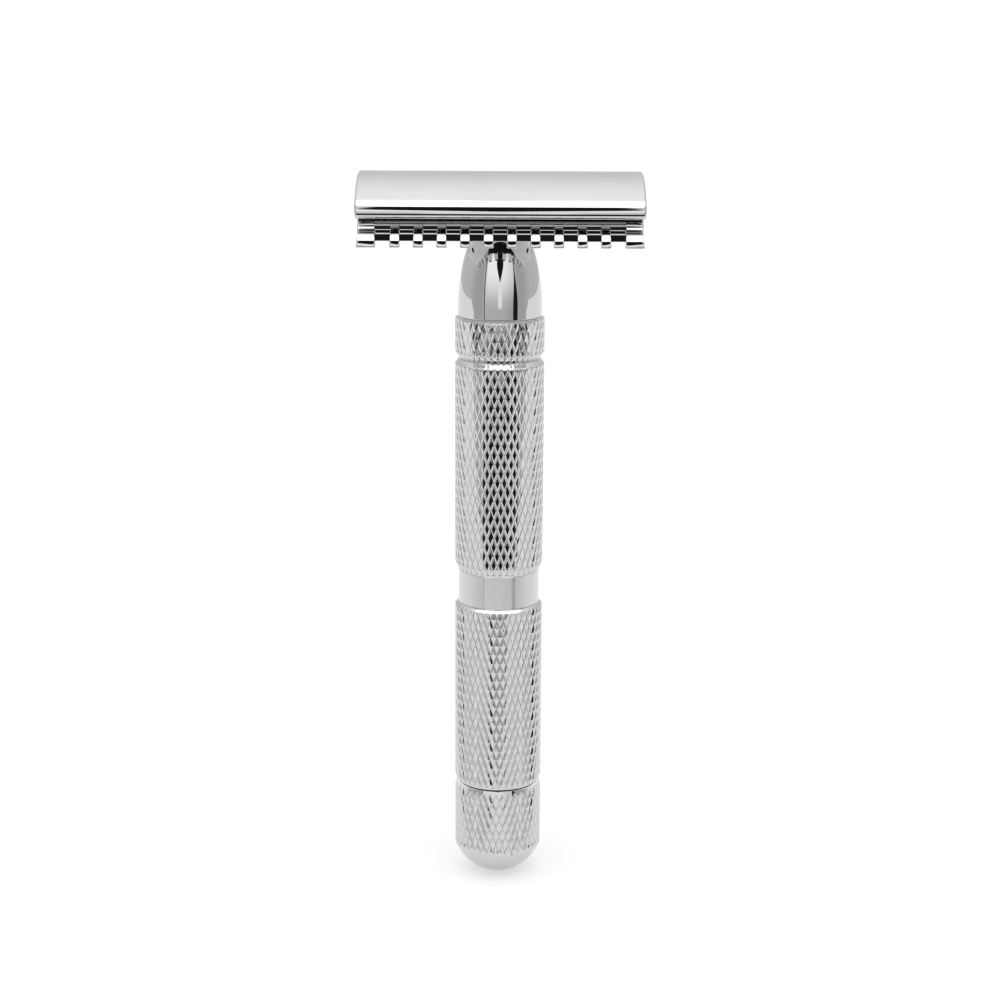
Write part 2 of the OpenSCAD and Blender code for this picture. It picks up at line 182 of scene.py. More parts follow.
def new_material(name):
    """An empty node material, its tree and its surface shader."""
    material = bpy.data.materials.new(name)
    material.use_nodes = True
    tree = material.node_tree
    shader = tree.nodes["Principled BSDF"]
    return material, tree, shader


def bump(tree, height, strength, distance_mm, under=None):
    """A bump of that height in millimetres, on top of another one if given."""
    inputs = {"Height": height, "Strength": strength, "Distance": distance_mm * MM}
    if under is not None:
        inputs["Normal"] = under
    return add_node(tree, "Bump", inputs).outputs[0]


# ---------------------------------------------------------------- materials

def grey(level, warmth=0.0):
    """A metal's reflected colour, slightly warm or cool."""
    return (level * (1 + warmth), level, level * (1 - warmth), 1.0)


def chrome(name, level, polish, haze, waviness):
    """Plated chrome: hazy patches, hairline scratches and a faint waviness."""
    material, tree, shader = new_material(name)
    patches = stretched_noise(tree, (90, 90, 90), detail=2.0)
    hairlines = stretched_noise(tree, (5200, 160, 700), detail=4.0)
    fine = stretched_noise(tree, (700, 700, 700), detail=4.0)
    tint = ramp(tree, patches, 0.3, 0.7)
    set_inputs(shader, {
        "Base Color": blend_colours(tree, tint, grey(level * 0.975, -0.006), grey(level * 1.015, 0.002)),
        "Metallic": 1.0,
    })
    cloudy = ramp(tree, fine, 0.35, 0.75, polish, polish + haze)
    scratches = ramp(tree, hairlines, 0.66, 0.74, 0.0, 0.09)
    set_inputs(shader, {"Roughness": math_node(tree, "ADD", cloudy, scratches)})
    set_inputs(shader, {"Normal": bump(tree, patches, waviness, 0.004)})
    return material


def knurled_chrome():
    """Chrome over knurling: flat diamond tops, a painted highlight as lighter colour along the groove edges,
    and grooves darkened with painted shade and made rougher.
    """
    material, tree, shader = new_material("knurled_chrome")
    groove = add_node(tree, "Attribute", attribute_name="groove").outputs["Fac"]
    patches = stretched_noise(tree, (260, 260, 260), detail=3.0)
    grain = stretched_noise(tree, (2600, 2600, 2600), detail=4.0)
    # Painted highlight: lighter colour just inside each groove's edge, where rounded crests would catch the
    # light
    edge = math_node(tree, "MULTIPLY", ramp(tree, groove, 0.0, 0.12), ramp(tree, groove, 0.3, 0.12))
    # Painted shade: darker colour down in the grooves
    groove_shade_colour = blend_colours(tree, groove, grey(0.60), grey(0.55))
    edge_highlight_colour = blend_colours(tree, math_node(tree, "MULTIPLY", edge, 0.5), groove_shade_colour, grey(0.72))
    dull = ramp(tree, patches, 0.3, 0.75, 0.03, 0.08)
    deep = math_node(tree, "MULTIPLY", groove, 0.03)
    set_inputs(shader, {
        "Base Color": edge_highlight_colour,
        "Metallic": 1.0,
        "Roughness": math_node(tree, "ADD", dull, deep),
        "Normal": bump(tree, grain, 0.25, 0.004, bump(tree, patches, 0.4, 0.012)),
    })
    return material


def satin_chrome():
    """Satin chrome with fine turning lines round the axis."""
    material, tree, shader = new_material("satin_chrome")
    lines = stretched_noise(tree, (60, 60, 16000), detail=5.0, roughness=0.75)
    broad = stretched_noise(tree, (150, 150, 900), detail=2.0)
    set_inputs(shader, {
        "Base Color": blend_colours(tree, lines, grey(0.58, 0.004), grey(0.63, 0.002)),
        "Metallic": 1.0,
        "Roughness": ramp(tree, broad, 0.3, 0.7, 0.07, 0.11),
        "Normal": bump(tree, lines, 0.3, 0.003),
    })
    return material


def turned_metal(name, colour, darker, rough):
    """Bare turned metal with tool lines round the axis and slight tarnish."""
    material, tree, shader = new_material(name)
    lines = stretched_noise(tree, (40, 40, 9000), detail=5.0, roughness=0.7)
    tarnish = stretched_noise(tree, (420, 420, 420), detail=5.0)
    set_inputs(shader, {
        "Base Color": blend_colours(tree, ramp(tree, tarnish, 0.35, 0.7), colour, darker),
        "Metallic": 1.0,
        "Roughness": ramp(tree, lines, 0.25, 0.75, rough, rough + 0.16),
        "Normal": bump(tree, lines, 0.4, 0.005),
    })
    return material


def blade_steel():
    """Ground strip with a polished bevel along each cutting edge."""
    material, tree, shader = new_material("blade_steel")
    coordinates = add_node(tree, "TexCoord").outputs["Object"]
    across = add_node(tree, "SeparateXYZ", {0: coordinates}).outputs[1]
    offset = math_node(tree, "ABSOLUTE", across)
    bevel = ramp(tree, offset, 9.5 * MM, 9.6 * MM)
    strokes = stretched_noise(tree, (14000, 120, 120), detail=4.0)
    stains = stretched_noise(tree, (300, 300, 300), detail=4.0)
    strip = blend_colours(tree, stains, grey(0.26, -0.01), grey(0.33, 0.004))
    set_inputs(shader, {
        "Base Color": blend_colours(tree, bevel, strip, grey(0.42)),
        "Metallic": 1.0,
        "Roughness": ramp(tree, strokes, 0.3, 0.7, 0.1, 0.2),
        "Normal": bump(tree, strokes, 0.1, 0.002),
    })
    return material


def washer_plastic():
    """Natural low-friction plastic: waxy, with a faint mottle and turning marks."""
    material, tree, shader = new_material("washer_plastic")
    mottle = stretched_noise(tree, (500, 500, 500), detail=4.0)
    marks = stretched_noise(tree, (2500, 2500, 300), detail=3.0)
    set_inputs(shader, {
        "Base Color": blend_colours(tree, mottle, (0.76, 0.75, 0.69, 1.0), (0.86, 0.85, 0.8, 1.0)),
        "Roughness": ramp(tree, marks, 0.3, 0.7, 0.38, 0.55),
        "Subsurface Weight": 0.15,
        "Normal": bump(tree, marks, 0.3, 0.01),
    })
    shader.inputs["Subsurface Radius"].default_value = (0.001, 0.001, 0.001)
    return material


MATERIALS = {
    "polished_chrome": chrome("polished_chrome", 0.60, 0.025, 0.03, 0.15),
    "knurled_chrome": knurled_chrome(),
    "satin_chrome": satin_chrome(),
    "blade_steel": blade_steel(),
    "turned_steel": turned_metal("turned_steel", grey(0.52, 0.01), grey(0.44, 0.02), 0.2),
    "spring_steel": turned_metal("spring_steel", grey(0.26, 0.01), grey(0.17, 0.04), 0.25),
    "brass": turned_metal("brass", (0.72, 0.5, 0.2, 1.0), (0.55, 0.36, 0.14, 1.0), 0.2),
    "washer_plastic": washer_plastic(),
}
SLOTS = {part["node"]: part["material_slot"] for part in frame["record"]["subparts"]}
BODIES = {node: body for body, nodes in frame["record"]["behaviour"]["bodies"].items() for node in nodes}


# ---------------------------------------------------------------- mesh helpers, in mm

def build_object(name, vertices, faces, sharp_degrees=SHARP_DEGREES, merge=False):
    """A smooth-shaded object from vertices in millimetres, with vertices at one place merged if asked."""
    mesh = bpy.data.meshes.new(name)
    mesh.from_pydata([tuple(float(c) * MM for c in vertex) for vertex in vertices], [], faces)
    work = bmesh.new()
    work.from_mesh(mesh)
    if merge:
        bmesh.ops.remove_doubles(work, verts=work.verts, dist=0.0005 * MM)
    bmesh.ops.recalc_face_normals(work, faces=work.faces)
    work.to_mesh(mesh)
    work.free()
    mesh.shade_smooth()
    mesh.set_sharp_from_angle(angle=math.radians(sharp_degrees))
    new = bpy.data.objects.new(name, mesh)
    scene.collection.objects.link(new)
    return new


def finish_piece(piece, node):
    """Gives a piece its finish and body, in place of the CAD node of that name."""
    piece.data.materials.clear()
    piece.data.materials.append(MATERIALS[SLOTS[node]])
    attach(piece, BODIES[node])
    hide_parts(node)
    return piece


def fillet(corners, steps=7, guard=0.02):
    """Points round a closed outline of (a, b, radius) corners, each with a round of that radius."""
    points = []
    count = len(corners)
    for number, (a, b, radius) in enumerate(corners):
        here = np.array((a, b))
        before = np.array(corners[number - 1][:2]) - here
        after = np.array(corners[(number + 1) % count][:2]) - here
        if radius == 0:
            points.append(here)
            continue
        before_length = np.linalg.norm(before)
        after_length = np.linalg.norm(after)
        before = before / before_length
        after = after / after_length
        half = math.acos(np.clip(before @ after, -1, 1)) / 2
        setback = radius / math.tan(half)
        centre = here + (before + after) / np.linalg.norm(before + after) * radius / math.sin(half)
        start = here + before * setback
        end = here + after * setback
        start_angle = math.atan2(*(start - centre)[::-1])
        sweep = math.atan2(*(end - centre)[::-1]) - start_angle
        sweep = (sweep + math.pi) % TURN - math.pi
        points.append(start + before * min(guard, (before_length - setback) / 2))
        for step in range(steps + 1):
            angle = start_angle + sweep * step / steps
            points.append(centre + radius * np.array((math.cos(angle), math.sin(angle))))
        points.append(end + after * min(guard, (after_length - setback) / 2))
    return [tuple(point) for point in points]


def arc(centre_a, centre_b, radius, start, end, steps):
    """Points along an arc, with the angles in radians."""
    angles = np.linspace(start, end, steps + 1)
    return [(centre_a + radius * math.cos(t), centre_b + radius * math.sin(t)) for t in angles]


def lathe(name, outline, columns=128):
    """A closed outline of (radius, height) points turned round the axis."""
    vertices = []
    faces = []
    rows = len(outline)
    for column in range(columns):
        angle = TURN * column / columns
        vertices += [(r * math.cos(angle), r * math.sin(angle), z) for r, z in outline]
    for column in range(columns):
        left = column * rows
        right = (column + 1) % columns * rows
        for row in range(rows):
            above = (row + 1) % rows
            if outline[row][0] > 0 or outline[above][0] > 0:
                faces.append((left + row, right + row, right + above, left + above))
    return build_object(name, vertices, faces, merge=True)


def turned(name, corners, columns=128):
    """A turned part from (radius, height, edge round) corners."""
    return finish_piece(lathe(name, fillet(corners), columns), name)


def extrude(name, section, half_length, edge):
    """A closed (Y, Z) section along X, with its ends rounded over by edge."""
    points = np.array(section)
    before = points - np.roll(points, 1, axis=0)
    after = np.roll(points, -1, axis=0) - points
    normals = []
    for first, second in zip(before, after):
        first_normal = np.array((first[1], -first[0])) / np.linalg.norm(first)
        second_normal = np.array((second[1], -second[0])) / np.linalg.norm(second)
        middle = first_normal + second_normal
        middle = middle / np.linalg.norm(middle)
        normals.append(middle / max(0.4, middle @ first_normal))
    normals = np.array(normals)
    area = np.sum(points[:, 0] * np.roll(points[:, 1], -1) - np.roll(points[:, 0], -1) * points[:, 1])
    inward = -normals if area > 0 else normals
    stations = []
    round_steps = 8
    for step in range(round_steps + 1):
        angle = math.pi / 2 * step / round_steps
        stations.append((half_length - edge + edge * math.sin(angle), edge * (1 - math.cos(angle))))
    stations = [(-x, inset) for x, inset in reversed(stations)] + stations
    vertices = []
    faces = []
    count = len(points)
    for x, inset in stations:
        ring = points + inward * inset
        vertices += [(x, y, z) for y, z in ring]
    for station in range(len(stations) - 1):
        for number in range(count):
            following = (number + 1) % count
            low = station * count
            high = low + count
            faces.append((low + number, low + following, high + following, high + number))
    faces.append(tuple(range(count)))
    faces.append(tuple(range(len(vertices) - count, len(vertices))))
    return build_object(name, vertices, faces)


def combine(base, tool, operation):
    """Joins a tool to a base or cuts it away, in millimetres, and removes the tool."""
    for piece in (base, tool):
        piece.data.transform(Matrix.Scale(1 / MM, 4))
    modifier = base.modifiers.new("combine", "BOOLEAN")
    modifier.object = tool
    modifier.operation = operation
    modifier.solver = "MANIFOLD"
    graph = bpy.context.evaluated_depsgraph_get()
    mesh = bpy.data.meshes.new_from_object(base.evaluated_get(graph))
    base.modifiers.clear()
    base.data = mesh
    base.data.transform(Matrix.Scale(MM, 4))
    bpy.data.objects.remove(tool)


def around_axis(radius, angle, height):
    """A list of points from arrays of radius, angle and height."""
    return np.stack((radius * np.cos(angle), radius * np.sin(angle), height), -1).reshape(-1, 3)


def surface_grid(rows, columns, surface, centre_points=False):
    """The points, faces and groove values of a grid round the axis, with rows at those heights.

    surface gives the radius, and a groove value from 0 to 1, at an (angle, height). Each face has a
    point at its centre if centre_points is set."""
    rows = np.array(rows)
    angles = TURN * np.arange(columns) / columns
    angle, height = np.meshgrid(angles, rows)
    radius, groove = surface(angle, height)
    points = around_axis(radius, angle, height)
    grooves = groove.ravel()
    centre_start = len(points)
    if centre_points:
        angle, height = np.meshgrid(angles + TURN / columns / 2, (rows[1:] + rows[:-1]) / 2)
        radius, groove = surface(angle, height)
        points = np.concatenate((points, around_axis(radius, angle, height)))
        grooves = np.concatenate((grooves, groove.ravel()))
    faces = []
    column = np.arange(columns)
    following = (column + 1) % columns
    for low in range(0, centre_start - columns, columns):
        high = low + columns
        corners = (low + column, low + following, high + following, high + column)
        if centre_points:
            middle = centre_start + low + column
            for side in range(4):
                faces += np.stack((corners[side], corners[(side + 1) % 4], middle), -1).tolist()
        else:
            faces += np.stack(corners, -1).tolist()
    return points, faces, grooves


def grooved_piece(name, vertices, faces, grooves, sharp_degrees):
    """A finished piece that keeps the groove values of its first vertices as the attribute groove."""
    piece = build_object(name, vertices, faces, sharp_degrees)
    values = np.zeros(len(vertices), dtype=np.float32)
    values[:len(grooves)] = grooves
    piece.data.attributes.new("groove", "FLOAT", "POINT").data.foreach_set("value", values)
    return finish_piece(piece, name)


def carved(name, rows, columns, outer, inner, centre_points=False):
    """A tube between two surfaces, with grid rows at those heights.

    outer gives a radius and a groove value, and inner a radius, at an (angle, height)."""
    points, faces, grooves = surface_grid(rows, columns, outer, centre_points)
    inner_points, inner_faces, _ = surface_grid(
        rows, columns, lambda angle, height: (inner(angle, height), np.zeros_like(height)))
    inner_foot = len(points)
    inner_top = inner_foot + len(inner_points) - columns
    outer_top = len(inner_points) - columns
    faces += [[inner_foot + corner for corner in reversed(face)] for face in inner_faces]
    column = np.arange(columns)
    following = (column + 1) % columns
    for outer_ring, inner_ring in ((0, inner_foot), (outer_top, inner_top)):
        corners = (outer_ring + column, outer_ring + following, inner_ring + following, inner_ring + column)
        faces += np.stack(corners, -1).tolist()
    vertices = np.concatenate((points, inner_points))
    sharp_degrees = KNURL_SHARP_DEGREES if centre_points else SHARP_DEGREES
    return grooved_piece(name, vertices, faces, grooves, sharp_degrees)


# ---------------------------------------------------------------- knurled pieces

def knurl_rows(low, high, fine_low, fine_high, fine_step=0.1):
    """Heights for a knurled grid: on the knurl's own lattice, and closer together near both ends."""
    lattice_step = KNURL_PERIOD / SAMPLES
    lattice = np.arange(math.ceil((low + fine_low) / lattice_step), (high - fine_high) / lattice_step)
    bottom = np.linspace(low, low + fine_low, max(2, round(fine_low / fine_step)), endpoint=False)
    top = np.linspace(high, high - fine_high, max(2, round(fine_high / fine_step)), endpoint=False)
    rows = np.concatenate((bottom, lattice * lattice_step, top[::-1]))
    keep = [rows[0]]
    for height in rows[1:]:
        if height - keep[-1] > fine_step / 3:
            keep.append(height)
    keep[-1] = high
    return keep


def knurled(outline, full_radius, groove_size, follow, fade, fine_low, fine_high, seed):
    """The outer and inner radius functions and the grid heights of a knurled sleeve.

    outline is (radius, height) points up the outside. groove_size is a depth and a half-width as a share
    of the spacing. Grooves are cut from full_radius, so they run out on a chamfer, except between the
    heights in follow, where they follow the outline down. They fade away between the two heights in fade."""
    groove_depth, groove_half_width = groove_size
    heights_up = [z for _, z in outline]
    radii_up = [r for r, _ in outline]
    generator = np.random.default_rng(seed)
    cells = 4 * STARTS
    tilts = generator.normal(0.0, SURFACE_SCATTER, (2, cells, STARTS))
    depths = generator.normal(0.0, SURFACE_SCATTER, (cells, STARTS))
    wander = generator.uniform(0, TURN, 2)

    def outer(angle, height):
        base = np.interp(height, heights_up, radii_up)
        drift = np.sin(3 * angle + height / 4 + wander[0]) + np.sin(height / 2.3 + wander[1])
        drift = KNURL_DRIFT * drift
        along = height / KNURL_PERIOD
        around = STARTS * angle / TURN
        u = around + along
        v = around - along
        to_u = np.abs(u - np.round(u))
        to_v = np.abs(v - np.round(v))
        half = groove_half_width * (1 + drift)
        groove = np.maximum(np.clip(1 - to_u / half, 0, 1), np.clip(1 - to_v / half, 0, 1))
        cell_u = np.floor(u + 1e-6).astype(int)
        cell_v = np.floor(v + 1e-6).astype(int)
        ring = (cell_u - cell_v) % cells
        place = cell_u % STARTS
        top = depths[ring, place] + tilts[0, ring, place] * (u - cell_u - 0.5) * 2
        top = top + tilts[1, ring, place] * (v - cell_v - 0.5) * 2
        top = np.where(groove > 0, 0, np.minimum(top, 0.0) - 0.002)
        strength = 1 - np.clip((fade[0] - height) / (fade[0] - fade[1]), 0, 1)
        depth = groove_depth * groove * (1 + drift) * strength
        following = np.zeros_like(height, dtype=bool)
        for low, high in follow:
            following |= (height >= low) & (height <= high)
        radius = np.where(following, base - depth, np.minimum(base, full_radius - depth))
        radius = np.minimum(radius, base) + top * strength * (base > full_radius - 0.01)
        carved_share = np.where(radius < base - 0.004, groove, 0) * strength
        return radius, carved_share

    def inner(angle, height):
        return np.full_like(height, CORE_RADIUS)

    rows = knurl_rows(heights_up[0], heights_up[-1], fine_low, fine_high)
    return outer, inner, rows


def sleeve_outline(corners):
    """Points up the outside of a sleeve, its corners rounded. The corners are (radius, height, round)."""
    closed = [(1.0, corners[0][1], 0)] + corners + [(1.0, corners[-1][1], 0)]
    return [(r, z) for r, z in fillet(closed, steps=5) if r > 1.0]


def knurled_sleeve(name, corners, groove_size, follow, fine_low, fine_high, seed):
    """A knurled sleeve with those corners."""
    outline = sleeve_outline(corners)
    no_fade = (-100.0, -101.0)
    outer, inner, rows = knurled(
        outline, BARREL_RADIUS, groove_size, follow, no_fade, fine_low, fine_high, seed)
    return carved(name, rows, STARTS * SAMPLES, outer, inner, centre_points=True)


knurled_sleeve("lower_barrel", [
    (BARREL_RADIUS - 0.3, LOWER_FOOT, 0.08),
    (BARREL_RADIUS, 0.0, 0.25),
    (BARREL_RADIUS, BAND_FOOT - 0.55, 0.12),
    (BAND_RADIUS, BAND_FOOT, 0.05),
], WIDE_GROOVE, [], 1.1, 0.9, 11)

knurled_sleeve("upper_barrel", [
    (BAND_RADIUS, BAND_TOP, 0.05),
    (BARREL_RADIUS, BAND_TOP + 1.25, 0.3),
    (BARREL_RADIUS, COLLAR_FOOT - 0.8, 0.25),
    (BARREL_RADIUS - 0.7, COLLAR_FOOT, 0.05),
], FINE_GROOVE, [(BAND_TOP + 0.3, BAND_TOP + 1.6)], 1.6, 1.2, 12)

knurled_sleeve("knurled_collar", [
    (BARREL_RADIUS - 0.7, COLLAR_FOOT, 0.05),
    (BARREL_RADIUS, COLLAR_FOOT + 1.1, 0.2),
    (BARREL_RADIUS, NECK_FOOT - 0.4, 0.1),
    (BARREL_RADIUS - 0.415, NECK_FOOT, 0.06),
], FINE_GROOVE, [(COLLAR_FOOT + 0.12, COLLAR_FOOT + 1.4)], 1.4, 0.7, 13)


def end_knob():
    """The domed knob, with its recess and blind hole."""
    dome_radius = 7.38
    edge_radius = KNOB_RADIUS - 0.07
    dome_centre = KNOB_FOOT + dome_radius
    dome_edge = dome_centre - math.sqrt(dome_radius ** 2 - edge_radius ** 2)
    recess_radius = 4.3
    recess_depth = 4.0
    hole_radius = 2.0
    hole_depth = 10.0
    columns = STARTS * SAMPLES
    outline = sleeve_outline([
        (edge_radius, dome_edge, 0),
        (KNOB_RADIUS, dome_edge + 0.1, 0),
        (KNOB_RADIUS, KNOB_TOP - 1.05, 0.4),
        (BARREL_RADIUS - 0.3, KNOB_TOP, 0.12),
    ])
    fade = (dome_edge + 0.9, dome_edge + 0.1)
    outer, _, rows = knurled(outline, KNOB_RADIUS, WIDE_GROOVE, [], fade, 0.6, 1.4, 14)
    points, faces, grooves = surface_grid(rows, columns, outer, centre_points=True)
    vertices = points.tolist()

    def add_rings(rings, first_ring):
        """Rings of one radius and height each, joined on from first_ring and closed by a flat face."""
        last = first_ring
        for ring_radius, ring_height in rings:
            start = len(vertices)
            for column in range(columns):
                angle = TURN * column / columns
                vertices.append((ring_radius * math.cos(angle), ring_radius * math.sin(angle), ring_height))
                following = (column + 1) % columns
                faces.append((last + column, last + following, start + following, start + column))
            last = start
        faces.append(tuple(range(last, last + columns)))

    dome_steps = 60
    edge_angle = math.asin(edge_radius / dome_radius)
    add_rings(arc(0, dome_centre, dome_radius, edge_angle - math.pi / 2, -math.pi / 2, dome_steps)[1:-1], 0)
    recess = [
        (recess_radius + 0.1, KNOB_TOP),
        (recess_radius, KNOB_TOP - 0.1),
        (recess_radius, KNOB_TOP - recess_depth),
        (hole_radius, KNOB_TOP - recess_depth),
        (hole_radius, KNOB_TOP - hole_depth),
    ]
    add_rings(recess, (len(rows) - 1) * columns)
    return grooved_piece("end_knob", vertices, faces, grooves, KNURL_SHARP_DEGREES)


end_knob()


# ---------------------------------------------------------------- smooth turned pieces

def neck():
    """The ogive neck with its spigot and bores."""
    base_radius = BARREL_RADIUS - 0.415
    curve_radius = 28.9
    curve_start = NECK_FOOT + 1.45
    curve_centre = base_radius - curve_radius
    top_angle = math.asin((COMB_FOOT - curve_start) / curve_radius)
    foot_round = 0.12
    socket_bore = 3.3
    socket_bore_top = COMB_FOOT - 1.4
    tube_seat = NECK_FOOT + 4.45
    outline = [(CORE_RADIUS, NECK_FOOT), (base_radius - 0.14, NECK_FOOT)]
    outline += [(base_radius - foot_round, NECK_FOOT)]
    outline += arc(base_radius - foot_round, NECK_FOOT + foot_round, foot_round, -math.pi / 2, 0, 6)
    outline += [(base_radius, NECK_FOOT + 0.16), (base_radius, curve_start - 0.02)]
    outline += arc(curve_centre, curve_start, curve_radius, 0, top_angle, 90)
    outline += [(SPIGOT_RADIUS, COMB_FOOT), (SPIGOT_RADIUS, NECK_TOP)]
    outline += [(STUD_BORE, NECK_TOP), (STUD_BORE, socket_bore_top), (socket_bore, socket_bore_top)]
    outline += [(socket_bore, tube_seat), (CORE_RADIUS, tube_seat)]
    return finish_piece(lathe("neck", outline, 256), "neck")


neck()


def centre_band():
    """The satin ring, with fine turned grooves all over except along its edges."""
    groove_depth = 0.015
    groove_pitch = 0.11
    plain_edge = 0.1
    edge_width = 0.08
    edge_slope = 0.6
    rows = np.arange(BAND_FOOT, BAND_TOP, groove_pitch / 4)
    rows = np.append(rows, BAND_TOP)

    def outer(angle, height):
        from_edge = np.minimum(height - BAND_FOOT, BAND_TOP - height)
        cut = 0.5 - 0.5 * np.cos(TURN * height / groove_pitch)
        bevel = np.clip(edge_width - from_edge, 0, 1) * edge_slope
        return BAND_RADIUS - groove_depth * cut * (from_edge > plain_edge) - bevel, np.zeros_like(height)

    def inner(angle, height):
        return np.full_like(height, CORE_RADIUS)

    return carved("centre_band", rows, 192, outer, inner)


centre_band()

SPINDLE_RADIUS = half_size("spindle", 0)
BUSH_BORE = SPINDLE_RADIUS + 0.04
FINE_COLUMNS = 96
TUBE_FOOT, TUBE_TOP = heights("core_tube")
TUBE_BORE = CORE_RADIUS - 1.0

turned("core_tube", [
    (TUBE_BORE, TUBE_FOOT, 0.1),
    (CORE_RADIUS, TUBE_FOOT, 0.15),
    (CORE_RADIUS, TUBE_TOP, 0.2),
    (TUBE_BORE, TUBE_TOP, 0.1),
])

UPPER_BUSH_FOOT, UPPER_BUSH_TOP = heights("upper_bush")
turned("upper_bush", [
    (BUSH_BORE, UPPER_BUSH_FOOT, 0.2),
    (TUBE_BORE, UPPER_BUSH_FOOT, 0.2),
    (TUBE_BORE, UPPER_BUSH_TOP, 0.2),
    (BUSH_BORE, UPPER_BUSH_TOP, 0.2),
], FINE_COLUMNS)

LOWER_BUSH_FOOT, LOWER_BUSH_TOP = heights("lower_bush")
turned("lower_bush", [
    (BUSH_BORE, LOWER_BUSH_FOOT, 0.15),
    (CORE_RADIUS, LOWER_BUSH_FOOT, 0.12),
    (CORE_RADIUS, TUBE_FOOT, 0.05),
    (TUBE_BORE, TUBE_FOOT, 0.05),
    (TUBE_BORE, LOWER_BUSH_TOP, 0.2),
    (BUSH_BORE, LOWER_BUSH_TOP, 0.2),
], FINE_COLUMNS)

WASHER_BORE = SPINDLE_RADIUS + 0.1


def washer(name):
    """A flat washer round the spindle."""
    low, high = heights(name)
    radius = half_size(name, 0)
    turned(name, [
        (WASHER_BORE, low, 0.08),
        (radius, low, 0.12),
        (radius, high, 0.12),
        (WASHER_BORE, high, 0.08),
    ], FINE_COLUMNS)


washer("thrust_washer")
washer("slip_washer")

SPINDLE_FOOT, SPINDLE_TOP = heights("spindle")
SOCKET_FOOT, SOCKET_TOP = heights("draw_socket")
RING_FOOT, RING_TOP = heights("retaining_ring")
SPINDLE_END = 2.0
SPINDLE_SHOULDER = KNOB_TOP - 0.4
RING_GROOVE = 1.75
turned("spindle", [
    (0.0, SPINDLE_FOOT, 0),
    (SPINDLE_END, SPINDLE_FOOT, 0.3),
    (SPINDLE_END, SPINDLE_SHOULDER, 0.05),
    (SPINDLE_RADIUS, SPINDLE_SHOULDER, 0.1),
    (SPINDLE_RADIUS, RING_FOOT, 0.05),
    (RING_GROOVE, RING_FOOT, 0.05),
    (RING_GROOVE, RING_TOP, 0.05),
    (SPINDLE_RADIUS, RING_TOP, 0.05),
    (SPINDLE_RADIUS, SOCKET_FOOT, 0.1),
    (SPINDLE_END, SOCKET_FOOT, 0.05),
    (SPINDLE_END, SPINDLE_TOP, 0.3),
    (0.0, SPINDLE_TOP, 0),
], FINE_COLUMNS)


# ---------------------------------------------------------------- threads, nut, spring and ring

THREAD_PITCH = 0.8
THREAD_DEPTH = 0.4
SOCKET_THREAD_DEPTH = 0.3
THREAD_ROWS = 8
THREAD_COLUMNS = 48


def thread_cut(angle, height):
    """From 0 at a thread's crest to 1 at its root."""
    phase = (height / THREAD_PITCH - angle / TURN) % 1.0
    return np.clip(np.abs(2 * phase - 1) * 1.4 - 0.2, 0, 1)


def cap_stud():
    """The threaded stud, plain where it goes into the cap. It is carved, so it has a hairline bore."""
    name = "cap_stud"
    low, high = heights(name)
    radius = half_size(name, 0)
    plain_from = CAP_FOOT - 1.0
    tip_height = 0.6
    hairline_bore = 0.02
    rows = np.arange(low, plain_from + 0.3, THREAD_PITCH / THREAD_ROWS)
    rows = np.append(rows, high)

    def outer(angle, height):
        tip = np.clip((height - low) / tip_height, 0, 1)
        run_out = np.clip((plain_from - height) / tip_height, 0, 1)
        depth = THREAD_DEPTH * thread_cut(angle, height) * run_out
        return np.minimum(radius - depth, radius - tip_height * (1 - tip)), np.zeros_like(height)

    def inner(angle, height):
        return np.full_like(height, hairline_bore)

    return carved(name, rows, THREAD_COLUMNS, outer, inner)


def draw_socket():
    """The threaded socket, with its seat for the spindle and a narrow vent between the two."""
    name = "draw_socket"
    radius = half_size(name, 0)
    seat_top = SOCKET_FOOT + 6.0
    thread_foot = seat_top + 0.5
    bore = half_size("cap_stud", 0) + 0.03
    vent_radius = 0.3
    bevel = 0.2
    step = 0.01
    rows = [SOCKET_FOOT, SOCKET_FOOT + bevel, seat_top, seat_top + step, thread_foot, thread_foot + step]
    rows = np.append(rows, np.arange(thread_foot + 0.1, SOCKET_TOP - 0.25, THREAD_PITCH / THREAD_ROWS))
    rows = np.append(rows, (SOCKET_TOP - bevel, SOCKET_TOP))

    def outer(angle, height):
        from_end = np.minimum(height - SOCKET_FOOT, SOCKET_TOP - height)
        return radius - np.clip(bevel - from_end, 0, 1), np.zeros_like(height)

    def inner(angle, height):
        threaded = bore + SOCKET_THREAD_DEPTH * thread_cut(angle, height)
        lead_in = np.clip(height - (SOCKET_TOP - bevel), 0, 1)
        inside = np.where(height < thread_foot + step / 2, vent_radius, threaded + lead_in)
        return np.where(height < seat_top + step / 2, SPINDLE_END, inside)

    return carved(name, rows, THREAD_COLUMNS, outer, inner)


def lock_nut():
    """A hexagon nut with turned-off corners."""
    name = "lock_nut"
    low, high = heights(name)
    across_corners = half_size(name, 0)
    flat = across_corners * math.cos(math.pi / 6)
    turned_off = 0.35
    face_inset = 0.1
    bore_bevel = 0.25
    end_zone = 0.6
    rows = np.concatenate((np.linspace(low, low + end_zone, 7), np.linspace(high - end_zone, high, 7)))

    def outer(angle, height):
        hexagon = flat / np.cos((angle % (math.pi / 3)) - math.pi / 6)
        from_end = np.minimum(height - low, high - height)
        cone = flat - face_inset + from_end * (across_corners - flat + face_inset) / turned_off
        return np.minimum(hexagon, cone), np.zeros_like(height)

    def inner(angle, height):
        from_end = np.minimum(height - low, high - height)
        return SPINDLE_END + np.clip(bore_bevel - from_end, 0, 1)

    return carved(name, rows, 144, outer, inner)


